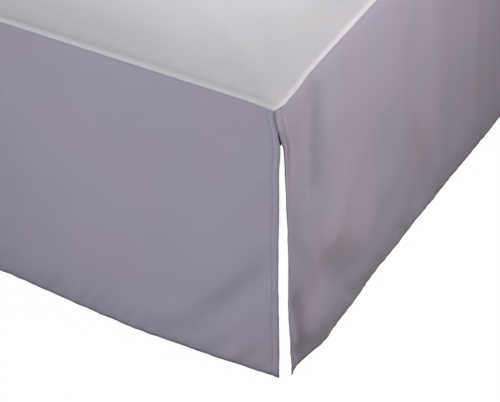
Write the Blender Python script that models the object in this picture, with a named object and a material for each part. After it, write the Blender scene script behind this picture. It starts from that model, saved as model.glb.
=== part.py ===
"""Tailored bed skirt with split corners, laid over a plain bed base on four legs.

A white deck cloth lies on the base and turns down over its rounded edge to a seam.
Four flat mauve-grey panels hang from that seam, one for each side, and nothing joins
them at the corners, where they stand a little open.

Metres, +Z up. The origin is on the floor under the middle of the whole object, +X runs
along the bed and the front panel faces -Y. The fullest corner is the one at +X, -Y.

Each panel is measured on its own cloth: s runs along the seam from the panel's first
corner and v runs down from the seam. "Out" is away from the bed.
"""
import math
from collections import namedtuple

import bmesh
import bpy
from mathutils import Vector

# Driving sizes
DECK_LENGTH = 1.320        # seam to seam, a 52 in deck
DECK_WIDTH = 0.710         # a 28 in deck
DROP = 0.356               # seam to hem, 14 in
HEM_CLEARANCE = 0.006      # hem above the floor
CLOTH = 0.0012             # thickness of every sheet
SEAM_GAP = 0.0003          # between pieces that touch
EDGE_ROUND = 0.005         # how far the deck cloth bends over the base's edge
EDGE_CLEARANCE = 0.0033    # deck cloth and panels to the base's sides

# Bed base
SLAB_THICK = 0.062         # its side shows at the top of the slit in the photo
SLAB_ROUND = 0.006
SLAB_CORNER = 0.014
LEG_TOP_RADIUS = 0.022
LEG_FOOT_RADIUS = 0.018
LEG_IN_FROM_END = 0.180
LEG_IN_FROM_SIDE = 0.120
LEG_SIDES = 28

SEAM_Z = HEM_CLEARANCE + DROP
TOP_Z = SEAM_Z + EDGE_ROUND
SLAB_INSET = CLOTH + EDGE_CLEARANCE
SLAB_TOP = TOP_Z - CLOTH - SEAM_GAP
SLAB_BOTTOM = SLAB_TOP - SLAB_THICK

# Steps of the meshes
PANEL_ROWS = 12
ROW_EASING = 1.6           # rows crowd towards the seam
LONG_COLUMNS = 40
SHORT_COLUMNS = 36
COLUMN_CROWDING = 0.085    # columns crowd towards the corners
EDGE_REACH = 0.055         # how far a side edge's own line bends the cloth beside it
SEAM_BULGE_DEPTH = 0.060   # depth in which a bulge at the seam dies out
FOLD_START = 0.025         # folds grow from nothing at the seam over this depth
FOLD_STOP = 0.030          # and die out this near the hem, whose own line is given
FOLD_END_FADE = 1.6        # in half-widths
DECK_CORNER_STEPS = 0.075  # the deck keeps every column this near a corner
DECK_PLAIN_STEP = 4        # and one in this many elsewhere
ROUND_STEPS = 3
SLAB_CORNER_STEPS = 5
WELD = 0.00001             # points of the deck this near are one
SHARP_ANGLE = math.radians(35)

# Side edge of a panel: how far it hangs in from its corner, down the cloth
EdgeRow = namedtuple("EdgeRow", "v inset")
LONG_EDGE = [
    EdgeRow(0.000, 0.0028),
    EdgeRow(0.008, 0.0028),
    EdgeRow(0.023, -0.0020),
    EdgeRow(0.044, -0.0050),
    EdgeRow(0.084, -0.0044),
    EdgeRow(0.240, -0.0038),
    EdgeRow(0.356, -0.0048),
]
SHORT_EDGE = [
    EdgeRow(0.000, 0.0000),
    EdgeRow(0.008, 0.0019),
    EdgeRow(0.025, 0.0044),
    EdgeRow(0.050, 0.0128),
    EdgeRow(0.085, 0.0180),
    EdgeRow(0.155, 0.0182),
    EdgeRow(0.249, 0.0158),
    EdgeRow(0.316, 0.0166),
    EdgeRow(0.356, 0.0189),
]

# The seam beside a corner: how far it stands out of line and sags
SeamRow = namedtuple("SeamRow", "s out sag")
LONG_SEAM = [
    SeamRow(0.000, 0.0000, 0.0025),
    SeamRow(0.008, 0.0000, 0.0014),
    SeamRow(0.020, 0.0000, 0.0004),
    SeamRow(0.036, 0.0000, 0.0000),
]
SHORT_SEAM = [
    SeamRow(0.000, -0.0011, 0.0025),
    SeamRow(0.0074, 0.0026, 0.0020),
    SeamRow(0.026, 0.0026, 0.0012),
    SeamRow(0.047, 0.0024, 0.0005),
    SeamRow(0.060, 0.0012, 0.0001),
    SeamRow(0.080, 0.0003, 0.0000),
    SeamRow(0.110, 0.0000, 0.0000),
]

# How far the hem stands out of the plane of the seam, along the panel
HemRow = namedtuple("HemRow", "s out")
FRONT_HEM = [
    HemRow(0.000, -0.0052),
    HemRow(0.041, -0.0026),
    HemRow(0.115, -0.0005),
    HemRow(0.165, 0.0009),
    HemRow(0.246, -0.0027),
    HemRow(0.302, -0.0068),
    HemRow(0.358, -0.0098),
    HemRow(0.440, -0.0070),
    HemRow(0.560, 0.0010),
    HemRow(0.720, -0.0030),
    HemRow(0.900, 0.0030),
    HemRow(1.080, -0.0020),
    HemRow(1.240, 0.0020),
    HemRow(1.320, -0.0040),
]
RIGHT_HEM = [
    HemRow(0.000, 0.0141),
    HemRow(0.031, 0.0126),
    HemRow(0.056, 0.0159),
    HemRow(0.077, 0.0199),
    HemRow(0.090, 0.0204),
    HemRow(0.108, 0.0190),
    HemRow(0.150, 0.0180),
    HemRow(0.200, 0.0168),
    HemRow(0.280, 0.0170),
    HemRow(0.380, 0.0181),
    HemRow(0.557, 0.0208),
    HemRow(0.640, 0.0180),
    HemRow(0.710, 0.0120),
]
BACK_HEM = [
    HemRow(0.000, -0.0030),
    HemRow(0.160, 0.0020),
    HemRow(0.380, 0.0090),
    HemRow(0.600, 0.0030),
    HemRow(0.840, 0.0080),
    HemRow(1.100, 0.0010),
    HemRow(1.320, -0.0040),
]
LEFT_HEM = [
    HemRow(0.000, 0.0110),
    HemRow(0.060, 0.0150),
    HemRow(0.180, 0.0120),
    HemRow(0.340, 0.0160),
    HemRow(0.500, 0.0110),
    HemRow(0.640, 0.0150),
    HemRow(0.710, 0.0110),
]

# Soft folds: from one point of the cloth to another, ridges out and troughs in
Fold = namedtuple("Fold", "s_from v_from s_to v_to half_width rise")
FRONT_FOLDS = [
    Fold(0.020, 0.200, 0.108, 0.306, 0.016, -0.0016),
    Fold(0.030, 0.255, 0.080, 0.330, 0.026, 0.0010),
    Fold(0.019, 0.068, 0.087, 0.163, 0.012, 0.0006),
    Fold(0.230, 0.090, 0.250, 0.280, 0.070, 0.0016),
    Fold(0.470, 0.080, 0.455, 0.330, 0.040, 0.0022),
    Fold(0.700, 0.120, 0.720, 0.340, 0.034, -0.0018),
    Fold(0.960, 0.090, 0.945, 0.330, 0.045, 0.0020),
    Fold(1.190, 0.240, 1.270, 0.170, 0.024, -0.0014),
]
RIGHT_FOLDS = [
    Fold(0.075, 0.020, 0.074, 0.120, 0.011, -0.0026),
    Fold(0.044, 0.035, 0.038, 0.115, 0.015, 0.0016),
    Fold(0.132, 0.075, 0.142, 0.190, 0.042, 0.0036),
    Fold(0.085, 0.205, 0.160, 0.315, 0.032, -0.0050),
    Fold(0.036, 0.222, 0.085, 0.325, 0.014, 0.0028),
    Fold(0.031, 0.292, 0.035, 0.335, 0.008, -0.0024),
    Fold(0.352, 0.070, 0.379, 0.300, 0.013, 0.0024),
    Fold(0.412, 0.130, 0.421, 0.290, 0.017, -0.0018),
    Fold(0.466, 0.120, 0.472, 0.300, 0.013, 0.0022),
    Fold(0.330, 0.255, 0.342, 0.330, 0.015, -0.0020),
    Fold(0.585, 0.100, 0.600, 0.320, 0.024, -0.0024),
    Fold(0.650, 0.060, 0.640, 0.240, 0.018, 0.0020),
]
BACK_FOLDS = [
    Fold(0.250, 0.110, 0.235, 0.330, 0.036, -0.0024),
    Fold(0.430, 0.080, 0.445, 0.330, 0.030, 0.0026),
    Fold(0.790, 0.100, 0.800, 0.330, 0.028, 0.0024),
    Fold(1.060, 0.120, 1.050, 0.330, 0.040, -0.0022),
    Fold(1.200, 0.210, 1.285, 0.300, 0.022, 0.0016),
]
LEFT_FOLDS = [
    Fold(0.085, 0.025, 0.090, 0.150, 0.014, -0.0022),
    Fold(0.210, 0.090, 0.195, 0.320, 0.022, 0.0024),
    Fold(0.410, 0.120, 0.425, 0.330, 0.026, -0.0024),
    Fold(0.560, 0.070, 0.545, 0.300, 0.020, 0.0020),
]

# A panel's first corner and its two directions are in the plan of the deck's seam
Panel = namedtuple("Panel", "name length corner along out columns edge seam hem folds")
HALF_LENGTH = DECK_LENGTH / 2
HALF_WIDTH = DECK_WIDTH / 2
PANELS = [
    Panel("panel_front", DECK_LENGTH, (HALF_LENGTH, -HALF_WIDTH), (-1, 0), (0, -1),
          LONG_COLUMNS, LONG_EDGE, LONG_SEAM, FRONT_HEM, FRONT_FOLDS),
    Panel("panel_right", DECK_WIDTH, (HALF_LENGTH, -HALF_WIDTH), (0, 1), (1, 0),
          SHORT_COLUMNS, SHORT_EDGE, SHORT_SEAM, RIGHT_HEM, RIGHT_FOLDS),
    Panel("panel_back", DECK_LENGTH, (-HALF_LENGTH, HALF_WIDTH), (1, 0), (0, 1),
          LONG_COLUMNS, LONG_EDGE, LONG_SEAM, BACK_HEM, BACK_FOLDS),
    Panel("panel_left", DECK_WIDTH, (-HALF_LENGTH, HALF_WIDTH), (0, -1), (-1, 0),
          SHORT_COLUMNS, SHORT_EDGE, SHORT_SEAM, LEFT_HEM, LEFT_FOLDS),
]

# Colour, roughness
WHITE_CLOTH = ((0.62, 0.61, 0.65), 0.85)
MAUVE_CLOTH = ((0.30, 0.275, 0.335), 0.80)
PALE_WOOD = ((0.62, 0.47, 0.31), 0.60)


def curve_at(rows, x, column):
    """Smooth curve through one column of a table, level beyond its ends."""
    places = [row[0] for row in rows]
    values = [getattr(row, column) for row in rows]
    if x <= places[0]:
        return values[0]
    if x >= places[-1]:
        return values[-1]
    i = max(k for k in range(len(places) - 1) if places[k] <= x)

    def slope(k):
        low, high = max(k - 1, 0), min(k + 1, len(places) - 1)
        return (values[high] - values[low]) / (places[high] - places[low])

    step = places[i + 1] - places[i]
    t = (x - places[i]) / step
    start = values[i] * (2 * t**3 - 3 * t**2 + 1) + slope(i) * step * (t**3 - 2 * t**2 + t)
    end = values[i + 1] * (3 * t**2 - 2 * t**3) + slope(i + 1) * step * (t**3 - t**2)
    return start + end


def ease(t):
    """0 to 1 with level ends."""
    t = min(max(t, 0.0), 1.0)
    return t * t * (3 - 2 * t)


def fold_rise(folds, s, v):
    """How far the folds lift the cloth at one point."""
    total = 0.0
    for fold in folds:
        run_s = fold.s_to - fold.s_from
        run_v = fold.v_to - fold.v_from
        length = math.hypot(run_s, run_v)
        along = ((s - fold.s_from) * run_s + (v - fold.v_from) * run_v) / length
        across = ((s - fold.s_from) * run_v - (v - fold.v_from) * run_s) / length
        past_end = max(-along, along - length, 0.0) / (FOLD_END_FADE * fold.half_width)
        total += fold.rise * math.exp(-(across / fold.half_width) ** 2 - past_end**2)
    return total * ease(v / FOLD_START) * ease((DROP - v) / FOLD_STOP)


def from_corner(panel, s):
    """Distance to the nearer corner of the panel."""
    return min(s, panel.length - s)


def panel_point(panel, s, v, inward=0.0):
    """Point on the outer face of a panel, or that far behind it."""
    near = from_corner(panel, s)
    inset = curve_at(panel.edge, v, "inset") * (1 - ease(near / EDGE_REACH)) ** 2
    along = s + (inset if s < panel.length / 2 else -inset)
    out = curve_at(panel.seam, near, "out") * math.exp(-((v / SEAM_BULGE_DEPTH) ** 2))
    out += curve_at(panel.hem, s, "out") * v / DROP
    out += fold_rise(panel.folds, s, v) - inward
    sag = curve_at(panel.seam, near, "sag") * (1 - v / DROP)
    corner = Vector(panel.corner)
    plan = corner + along * Vector(panel.along) + out * Vector(panel.out)
    return Vector((plan.x, plan.y, SEAM_Z - sag - v))


def column_places(panel):
    """Where the columns of a panel's mesh stand along its seam."""
    steps = [i / panel.columns for i in range(panel.columns + 1)]
    return [panel.length * (t - COLUMN_CROWDING * math.sin(2 * math.pi * t)) for t in steps]


def row_depths():
    return [DROP * (j / PANEL_ROWS) ** ROW_EASING for j in range(PANEL_ROWS + 1)]


def add_ring_strip(mesh, ring_a, ring_b):
    """Close the band between two loops of as many vertices."""
    count = len(ring_a)
    for i in range(count):
        j = (i + 1) % count
        mesh.faces.new((ring_a[i], ring_a[j], ring_b[j], ring_b[i]))


def finish_object(name, mesh, colour, roughness):
    """Turn a bmesh into a named object with its own material."""
    bmesh.ops.recalc_face_normals(mesh, faces=mesh.faces)
    bmesh.ops.triangulate(mesh, faces=mesh.faces)
    data = bpy.data.meshes.new(name)
    mesh.to_mesh(data)
    mesh.free()
    data.shade_smooth()
    data.set_sharp_from_angle(angle=SHARP_ANGLE)
    material = bpy.data.materials.new(name + "_finish")
    material.use_nodes = True
    shader = material.node_tree.nodes["Principled BSDF"]
    shader.inputs["Base Color"].default_value = (*colour, 1)
    shader.inputs["Roughness"].default_value = roughness
    shader.inputs["Metallic"].default_value = 0
    data.materials.append(material)
    piece = bpy.data.objects.new(name, data)
    bpy.context.collection.objects.link(piece)
    return piece


def make_panel(panel):
    """One flat panel with its folds, a closed sheet of even thickness."""
    mesh = bmesh.new()
    places = column_places(panel)
    depths = row_depths()
    outer = [[mesh.verts.new(panel_point(panel, s, v)) for s in places] for v in depths]
    inner = [[mesh.verts.new(panel_point(panel, s, v, CLOTH)) for s in places] for v in depths]
    for skin in (outer, inner):
        for upper, lower in zip(skin, skin[1:]):
            for i in range(len(places) - 1):
                mesh.faces.new((upper[i], upper[i + 1], lower[i + 1], lower[i]))

    def rim(skin):
        right_side = [row[-1] for row in skin[1:-1]]
        left_side = [row[0] for row in skin[1:-1]]
        return skin[0] + right_side + skin[-1][::-1] + left_side[::-1]

    add_ring_strip(mesh, rim(outer), rim(inner))
    return finish_object(panel.name, mesh, *MAUVE_CLOTH)


def deck_places(panel):
    """Columns of the panel at which the deck's edge is drawn."""
    kept = []
    for i, s in enumerate(column_places(panel)):
        if from_corner(panel, s) < DECK_CORNER_STEPS or i % DECK_PLAIN_STEP == 0:
            kept.append(s)
    return kept


def deck_edge(panel, inward):
    """The deck's seam line over one panel, with the flat top's edge above each point."""
    line = []
    for s in deck_places(panel):
        low = panel_point(panel, s, 0.0, inward)
        low.z += SEAM_GAP
        if panel.seam is SHORT_SEAM:
            tuck = inward * (1 - ease(from_corner(panel, s) / EDGE_ROUND))
            low.xy += (tuck if s < panel.length / 2 else -tuck) * Vector(panel.along)
        share = EDGE_ROUND + s * (panel.length - 2 * EDGE_ROUND) / panel.length
        high = Vector(panel.corner) + share * Vector(panel.along) - EDGE_ROUND * Vector(panel.out)
        line.append((low, Vector((high.x, high.y, TOP_Z - inward))))
    return line


def deck_rings(inward):
    """Loops of one face of the deck cloth, from the seam up over the edge."""
    front, right, back, left = PANELS
    loop = deck_edge(front, inward)[::-1] + deck_edge(right, inward)
    loop += deck_edge(back, inward)[::-1] + deck_edge(left, inward)
    rings = []
    for k in range(ROUND_STEPS + 1):
        angle = math.pi / 2 * k / ROUND_STEPS
        ring = []
        for low, high in loop:
            point = low.lerp(high, 1 - math.cos(angle))
            point.z = low.z + (high.z - low.z) * math.sin(angle)
            ring.append(point)
        rings.append(ring)
    return rings


def make_deck():
    """White cloth over the base, turned down to the seam all round."""
    mesh = bmesh.new()
    seams = []
    for inward in (0.0, CLOTH):
        rings = [[mesh.verts.new(point) for point in ring] for ring in deck_rings(inward)]
        for ring_a, ring_b in zip(rings, rings[1:]):
            add_ring_strip(mesh, ring_a, ring_b)
        mesh.faces.new(rings[-1])
        seams.append(rings[0])
    add_ring_strip(mesh, *seams)
    bmesh.ops.remove_doubles(mesh, verts=mesh.verts, dist=WELD)
    return finish_object("deck", mesh, *WHITE_CLOTH)


def rounded_loop(mesh, half_x, half_y, radius, z):
    """Loop of vertices round a rectangle with round corners."""
    loop = []
    for quarter in range(4):
        side_x = 1 if quarter in (0, 3) else -1
        side_y = 1 if quarter in (0, 1) else -1
        for k in range(SLAB_CORNER_STEPS + 1):
            angle = math.pi / 2 * (quarter + k / SLAB_CORNER_STEPS)
            x = side_x * (half_x - radius) + radius * math.cos(angle)
            y = side_y * (half_y - radius) + radius * math.sin(angle)
            loop.append(mesh.verts.new((x, y, z)))
    return loop


def make_base():
    """Shallow box under the deck, its upper edge rounded."""
    mesh = bmesh.new()
    half_x = HALF_LENGTH - SLAB_INSET
    half_y = HALF_WIDTH - SLAB_INSET
    profile = [(0.0, SLAB_BOTTOM)]
    for k in range(ROUND_STEPS + 1):
        angle = math.pi / 2 * k / ROUND_STEPS
        rise = SLAB_ROUND * (1 - math.sin(angle))
        profile.append((SLAB_ROUND * (1 - math.cos(angle)), SLAB_TOP - rise))
    rings = [rounded_loop(mesh, half_x - inset, half_y - inset, SLAB_CORNER - inset, z)
             for inset, z in profile]
    for ring_a, ring_b in zip(rings, rings[1:]):
        add_ring_strip(mesh, ring_a, ring_b)
    mesh.faces.new(rings[0])
    mesh.faces.new(rings[-1])
    return finish_object("bed_base", mesh, *PALE_WOOD)


def make_leg(number, side_x, side_y):
    """Tapered round leg, flat on the floor and against the base."""
    mesh = bmesh.new()
    height = SLAB_BOTTOM - SEAM_GAP
    bmesh.ops.create_cone(mesh, cap_ends=True, segments=LEG_SIDES, radius1=LEG_FOOT_RADIUS,
                          radius2=LEG_TOP_RADIUS, depth=height)
    leg = finish_object(f"bed_leg_{number}", mesh, *PALE_WOOD)
    leg.location = (side_x * (HALF_LENGTH - LEG_IN_FROM_END),
                    side_y * (HALF_WIDTH - LEG_IN_FROM_SIDE), height / 2)
    return leg


def centre_in_plan(pieces):
    """Move all the pieces together so that the origin is under their middle."""
    bpy.context.view_layer.update()
    corners = [piece.matrix_world @ Vector(c) for piece in pieces for c in piece.bound_box]
    for axis in (0, 1):
        middle = (min(c[axis] for c in corners) + max(c[axis] for c in corners)) / 2
        for piece in pieces:
            piece.location[axis] -= middle


def clear_scene():
    for old in list(bpy.data.objects):
        bpy.data.objects.remove(old, do_unlink=True)


clear_scene()
pieces = [make_deck(), make_base()]
pieces += [make_panel(panel) for panel in PANELS]
sides = [(1, -1), (1, 1), (-1, 1), (-1, -1)]
pieces += [make_leg(i + 1, *side) for i, side in enumerate(sides)]
centre_in_plan(pieces)
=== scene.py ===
import math
import random

import bpy
import numpy as np
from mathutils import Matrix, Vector


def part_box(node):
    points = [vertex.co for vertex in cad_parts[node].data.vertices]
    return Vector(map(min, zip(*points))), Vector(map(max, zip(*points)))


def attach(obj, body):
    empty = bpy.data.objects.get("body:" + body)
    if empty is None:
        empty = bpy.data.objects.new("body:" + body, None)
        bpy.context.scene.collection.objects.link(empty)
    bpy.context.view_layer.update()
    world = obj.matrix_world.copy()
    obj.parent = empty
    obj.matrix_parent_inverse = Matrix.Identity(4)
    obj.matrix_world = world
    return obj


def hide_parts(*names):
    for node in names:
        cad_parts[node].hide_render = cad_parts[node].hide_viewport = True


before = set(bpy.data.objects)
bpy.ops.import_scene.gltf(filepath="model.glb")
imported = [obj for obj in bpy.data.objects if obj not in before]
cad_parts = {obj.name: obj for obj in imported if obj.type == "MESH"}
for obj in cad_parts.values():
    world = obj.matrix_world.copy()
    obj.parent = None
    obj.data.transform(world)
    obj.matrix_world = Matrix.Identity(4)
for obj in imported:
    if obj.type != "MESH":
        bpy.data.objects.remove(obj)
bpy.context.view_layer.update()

# Bed skirt with split corners, on a bed base. Metres, +Z up.
# The front panel faces -Y and the right end panel faces +X.
# On each panel s runs along the seam from its first corner, and v runs down the cloth from the seam.

baseLow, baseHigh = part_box("bed_base")
middle = (baseLow + baseHigh) / 2  # plan middle of the deck
deckOver = 0.0045                  # from the base's side out to the seam
halfLength = (baseHigh.x - baseLow.x) / 2 + deckOver
halfWidth = (baseHigh.y - baseLow.y) / 2 + deckOver
seamZ = 0.362                      # height of the seam
topZ = 0.367                       # height of the deck's flat top
print("frame loaded, deck", round(2 * halfLength, 4), "x", round(2 * halfWidth, 4))


def ease(t):
    t = np.clip(t, 0, 1)
    return t * t * (3 - 2 * t)


def curveAt(rows, x, column=1):
    # smooth curve through one column of a table, level beyond its ends
    table = np.array(rows)
    places, values = table[:, 0], table[:, column]
    order = np.arange(len(rows))
    low, high = np.maximum(order - 1, 0), np.minimum(order + 1, len(rows) - 1)
    slopes = (values[high] - values[low]) / (places[high] - places[low])
    i = np.clip(np.searchsorted(places, x, "right") - 1, 0, len(rows) - 2)
    step = places[i + 1] - places[i]
    t = np.clip((x - places[i]) / step, 0, 1)
    start = values[i] * (2 * t**3 - 3 * t**2 + 1) + slopes[i] * step * (t**3 - 2 * t**2 + t)
    return start + values[i + 1] * (3 * t**2 - 2 * t**3) + slopes[i + 1] * step * (t**3 - t**2)


def softNoise(x, y, shortest, longest, seed, count=16):
    # smooth random swell of unit size, from plane waves
    draw = random.Random(seed)
    total = np.zeros(np.broadcast(x, y).shape)
    for _ in range(count):
        wave = draw.uniform(shortest, longest)
        angle = draw.uniform(0, math.pi)
        phase = draw.uniform(0, 2 * math.pi)
        total += np.sin(2 * math.pi * (x * math.cos(angle) + y * math.sin(angle)) / wave + phase)
    return total / math.sqrt(count / 2)


def besideLine(s, v, line):
    # how far along a line each point of the cloth lies, how far past its lower side, and the line's length
    sFrom, vFrom, sTo, vTo = line
    runS, runV = sTo - sFrom, vTo - vFrom
    length = math.hypot(runS, runV)
    along = ((s - sFrom) * runS + (v - vFrom) * runV) / length
    past = ((v - vFrom) * runS - (s - sFrom) * runV) / length
    return along, past, length


def rises(folds, s, v):
    # soft ridges and troughs, each along a line of the cloth
    total = np.zeros(np.broadcast(s, v).shape)
    for *line, halfSpan, rise in folds:
        along, past, length = besideLine(s, v, line)
        pastEnd = np.maximum(np.maximum(-along, along - length), 0) / (skirt["foldEndFade"] * halfSpan)
        total += rise * np.exp(-(past / halfSpan) ** 2 - pastEnd**2)
    return total


def lapRises(laps, s, v):
    # one-sided folds: the cloth rises gently to a line and falls steeply past its lower side
    total = np.zeros(np.broadcast(s, v).shape)
    for *line, steep, rise, gentle, fadeIn, fadeOut in laps:
        along, past, length = besideLine(s, v, line)
        pastEnd = np.maximum(np.maximum(-along / fadeIn, (along - length) / fadeOut), 0)
        beyond = np.maximum(past, 0) / steep
        shape = np.where(past > 0, (1 + beyond) * np.exp(-beyond), np.exp(-((past / gentle) ** 2)))
        total += rise * shape * np.exp(-(pastEnd**2))
    return total


def spacedPlaces(stops):
    # (place, step up to the next place) rows to one rising list of places
    places = []
    for (start, step), (end, _) in zip(stops, stops[1:]):
        count = max(1, round((end - start) / step))
        places += [start + (end - start) * k / count for k in range(count)]
    return np.array(places + [stops[-1][0]])


def meshPiece(name, points, faces, uv):
    data = bpy.data.meshes.new(name)
    data.from_pydata(points.tolist(), [], faces.tolist())
    layer = data.uv_layers.new(name="cloth")
    corner = np.empty(len(data.loops), np.int32)
    data.loops.foreach_get("vertex_index", corner)
    layer.uv.foreach_set("vector", uv[corner].astype(np.float32).ravel())
    data.shade_smooth()
    piece = bpy.data.objects.new(name, data)
    bpy.context.scene.collection.objects.link(piece)
    return piece


def closedSheet(name, outer, inner, uv, flip):
    # two skins on one grid that share their border, so the sheet is closed
    rows, columns = outer.shape[:2]
    outerIndex = np.arange(rows * columns).reshape(rows, columns)
    inside = np.zeros((rows, columns), bool)
    inside[1:-1, 1:-1] = True
    innerIndex = outerIndex.copy()
    innerIndex[inside] = rows * columns + np.arange(inside.sum())
    quads = []
    for index, turned in ((outerIndex, flip), (innerIndex, not flip)):
        ring = [index[:-1, :-1], index[:-1, 1:], index[1:, 1:], index[1:, :-1]]
        quads.append(np.stack(ring[::-1] if turned else ring, axis=-1).reshape(-1, 4))
    points = np.concatenate([outer.reshape(-1, 3), inner[inside]])
    places = np.concatenate([uv.reshape(-1, 2), uv[inside]])
    return meshPiece(name, points, np.concatenate(quads), places)


skirt = {
    "drop": 0.356,
    "cloth": 0.0012,          # thickness, doubled hems included
    "rimSteps": [0.00009, 0.0003, 0.0006],  # places in from an edge at which its rim is rounded
    "edgeReach": 0.055,       # how far a side edge's line bends the cloth beside it
    "seamBulgeDepth": 0.060,
    "tuckDepth": 0.018,       # the corner of the end panel is tucked behind the front one
    "tuckReach": 0.016,
    "seamLower": 0.0012,      # the seam hangs a little below the base's edge
    "seamRoll": 0.0008,       # the top edge rolls in to the seam
    "seamRollDepth": 0.0034,
    "foldStart": 0.025,       # folds grow from nothing at the seam over this depth
    "foldStop": 0.030,        # and die out this near the foot
    "foldSide": 0.020,        # and this near a side edge
    "foldEndFade": 1.6,       # in half widths
    "lapSide": 0.050,         # one-sided folds fade out this near a side edge
    "lapFoot": 0.060,
    "bellyDepth": 0.012,      # how quickly the belly leaves the seam
    "bellyStart": 0.010,      # it grows from this far off a side edge, over the next span
    "bellySpan": 0.040,
    "turnHeight": 0.036,      # the cloth turns under above the stiff hem
    "turnReach": 0.024,
    "turnFoot": 0.018,
    "turnSide": 0.050,
    "turnUneven": 0.45,
    "pull": 0.00055,          # slanting pull marks above the bottom hem
    "pullSlant": 0.55, "pullStretch": 0.25,
    "pullHeight": 0.012,
    "pullReach": 0.030,
    "pullFoot": 0.006,
    "swell": 0.00035,         # slight unevenness of the hanging cloth
    "swellStart": 0.050,
    "bottomHem": 0.0092,      # hem edge to its stitches
    "sideHem": 0.0078,
    "hemStart": 0.012,        # the side hems' shape begins over this depth
    "hemStep": 0.00028,       # how much a doubled hem stands out
    "hemStepSpan": 0.0012,
    "footGroove": 0.00030,    # the stitches pull the cloth in this far
    "sideGroove": 0.00066,
    "grooveHalf": 0.0013,
    "pucker": 0.00020,        # ripples across a hem
    "puckerFade": 0.006,
    "puckerStretch": 0.35,
    "curlReach": 0.018,       # a side hem curls out this far from its edge
    "footCurlReach": 0.008,   # and the bottom hem's edge turns in
    "footCurlBack": 0.040,
}
waves = {  # shortest and longest wave of each unevenness
    "turn": (0.06, 0.25), "pull": (0.014, 0.045), "swell": (0.07, 0.26),
    "alongHem": (0.008, 0.030), "downHem": (0.010, 0.036),
    "deckWide": (0.06, 0.30), "deckFine": (0.03, 0.09),
}

longEdge = [  # v, inset of the side edge from its corner
    (0.000, 0.0016), (0.008, 0.0010), (0.015, -0.0001), (0.021, -0.0018), (0.027, -0.0031),
    (0.034, -0.0044), (0.041, -0.0057), (0.050, -0.0058), (0.066, -0.0047), (0.100, -0.0044),
    (0.200, -0.0040), (0.275, -0.0048), (0.356, -0.0050),
]
shortEdge = [
    (0.000, 0.0015), (0.008, 0.0017), (0.016, 0.0021), (0.024, 0.0030), (0.032, 0.0056),
    (0.041, 0.0088), (0.050, 0.0132), (0.060, 0.0152), (0.080, 0.0148), (0.115, 0.0134),
    (0.165, 0.0150), (0.225, 0.0112), (0.285, 0.0078), (0.320, 0.0098), (0.356, 0.0158),
]
longSeam = [  # s, out, sag of the seam beside a corner
    (0.000, 0.0000, 0.0025), (0.008, 0.0000, 0.0014), (0.020, 0.0000, 0.0004), (0.036, 0.0000, 0.0000),
]
shortSeam = [
    (0.000, -0.0026, 0.0025), (0.0074, 0.0026, 0.0020), (0.026, 0.0026, 0.0012), (0.047, 0.0024, 0.0005),
    (0.060, 0.0012, 0.0001), (0.080, 0.0003, 0.0000), (0.110, 0.0000, 0.0000),
]

panelFront = {
    "name": "skirtFront", "node": "panel_front", "length": 2 * halfLength, "seed": 11,
    "corner": (halfLength, -halfWidth), "along": (-1, 0), "out": (0, -1),
    "edge": longEdge, "seam": longSeam, "belly": 0.0006, "footCurl": 0.0003,
    "curl": [(0.0, 0.0), (0.356, 0.0)],  # v, how far the side hems curl out
    "hemTurn": [  # s, how far the cloth stands out above the hem
        (0.0, 0.0012), (0.10, 0.0018), (0.23, 0.0006), (0.36, 0.0020), (0.80, 0.0012), (1.32, 0.0020),
    ],
    "hem": [  # s, out of the hem from the plane of the seam
        (0.000, -0.0052), (0.041, -0.0026), (0.115, -0.0005), (0.165, 0.0009), (0.246, -0.0027),
        (0.302, -0.0068), (0.358, -0.0098), (0.440, -0.0070), (0.560, 0.0010), (0.720, -0.0030),
        (0.900, 0.0030), (1.080, -0.0020), (1.240, 0.0020), (1.320, -0.0040),
    ],
    "folds": [  # from s v, to s v, half width, rise; creases the same
        (0.004, 0.205, 0.094, 0.325, 0.015, -0.0034), (0.036, 0.060, 0.098, 0.150, 0.010, 0.0007),
        (0.020, 0.090, 0.082, 0.195, 0.010, 0.0006), (0.205, 0.060, 0.215, 0.250, 0.070, 0.0030),
        (0.470, 0.080, 0.455, 0.330, 0.040, 0.0022), (0.700, 0.120, 0.720, 0.340, 0.034, -0.0018),
        (0.960, 0.090, 0.945, 0.330, 0.045, 0.0020), (1.190, 0.240, 1.270, 0.170, 0.024, -0.0014),
    ],
    "laps": [  # from s v, to s v, steep side's width, rise, gentle side's width, fade at the start and end
        (0.022, 0.200, 0.122, 0.318, 0.006, 0.0018, 0.036, 0.020, 0.020),
    ],
    "creases": [
        (0.011, 0.005, 0.001, 0.022, 0.0019, -0.0009), (0.015, 0.014, 0.002, 0.036, 0.0022, -0.0006),
        (0.006, 0.004, 0.001, 0.013, 0.0015, -0.0005),
    ],
    "columns": [  # place, step of the mesh up to the next place
        (0.0006, 0.0018), (0.050, 0.0030), (0.400, 0.0080), (1.270, 0.0030), (1.3194, 0.003),
    ],
}
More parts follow.
